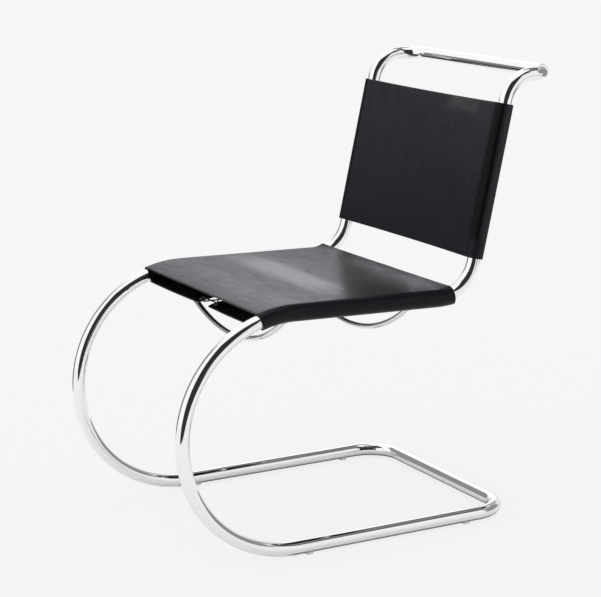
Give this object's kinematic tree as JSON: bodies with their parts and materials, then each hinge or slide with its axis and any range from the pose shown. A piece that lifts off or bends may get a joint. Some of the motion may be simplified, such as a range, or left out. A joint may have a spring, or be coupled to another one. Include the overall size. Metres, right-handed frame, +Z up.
{
  "type": "cantilever lounge chair",
  "caption": "Armless cantilever chair: a bent chromed tube with round front hoops and a flat floor loop carries laced leather slings for seat and back.",
  "frame": {"origin": "on the floor, under the middle of the chair's width and depth", "axes": "+Z up, -Y towards the front, where the sitter's knees are, +X towards the sitter's left"},
  "size_m": [0.487, 0.7453, 0.8005],
  "materials": {
    "chromed_tube": "polished",
    "chromed_bar": "polished",
    "bare_steel": "drawn",
    "screw_steel": "zinc plated",
    "black_leather": "matte, fine grain",
    "nickel_eyelet": "nickel plated",
    "lacing_cord": "waxed cord",
    "clear_glide": "smooth"
  },
  "bodies": {
    "root": {"left_frame_tube": "chromed_tube", "right_frame_tube": "chromed_tube", "top_joint_sleeve": "bare_steel", "base_joint_sleeve": "bare_steel", "top_joint_screws": "screw_steel", "base_joint_screws": "screw_steel", "front_spreader_bar": "chromed_bar", "rear_spreader_bar": "chromed_bar", "front_spreader_screws": "screw_steel", "rear_spreader_screws": "screw_steel", "seat_sling": "black_leather", "back_sling": "black_leather", "seat_eyelets_left": "nickel_eyelet", "seat_eyelets_right": "nickel_eyelet", "back_eyelets_left": "nickel_eyelet", "back_eyelets_right": "nickel_eyelet", "seat_lacing_cord": "lacing_cord", "back_lacing_cord": "lacing_cord", "front_left_glide": "clear_glide", "front_right_glide": "clear_glide", "rear_left_glide": "clear_glide", "rear_right_glide": "clear_glide"}
  },
  "joints": []
}
